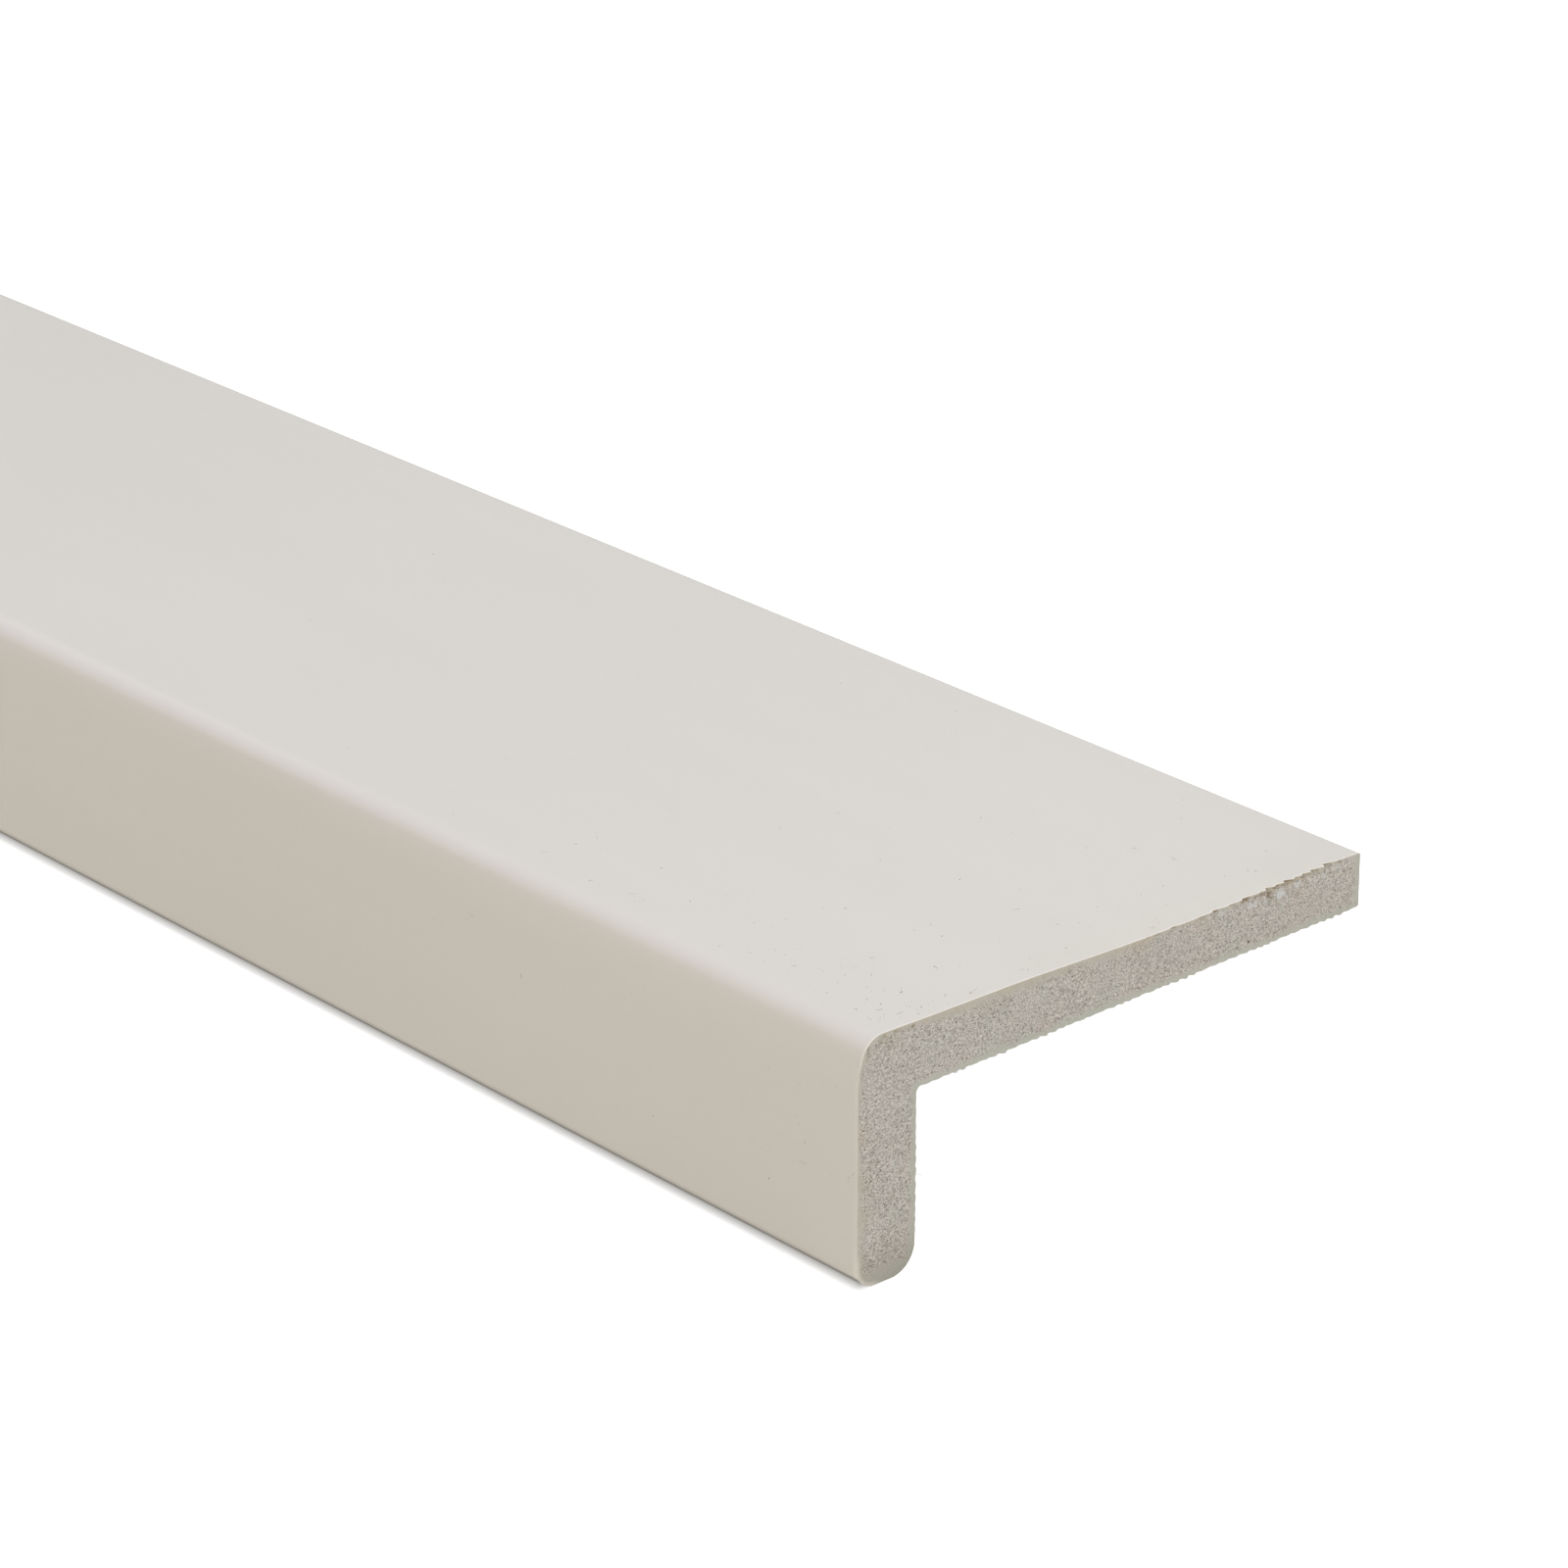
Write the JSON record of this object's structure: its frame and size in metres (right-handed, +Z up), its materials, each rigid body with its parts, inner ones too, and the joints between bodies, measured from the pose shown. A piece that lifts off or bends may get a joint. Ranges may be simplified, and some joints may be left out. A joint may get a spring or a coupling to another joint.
{
  "type": "fascia board",
  "caption": "Long L-section fascia cover board of cream cellular PVC: a wide tapered flange and a short leg with a rounded nose and toe, square sawn ends.",
  "frame": {"origin": "on the floor, under the middle of the board", "axes": "+X along the board, +Y across it from the leg to the free edge of the flange, +Z up; the board lies leg down, tilted 18.0 degrees about X so that the toe of the leg and the free edge both touch the floor"},
  "size_m": [2.5, 0.1062, 0.0379],
  "materials": {
    "cream_pvc": "satin cream co-extruded skin, with open grey-cream foam on the sawn ends"
  },
  "bodies": {
    "root": {"fascia_board": "cream_pvc"}
  },
  "joints": []
}
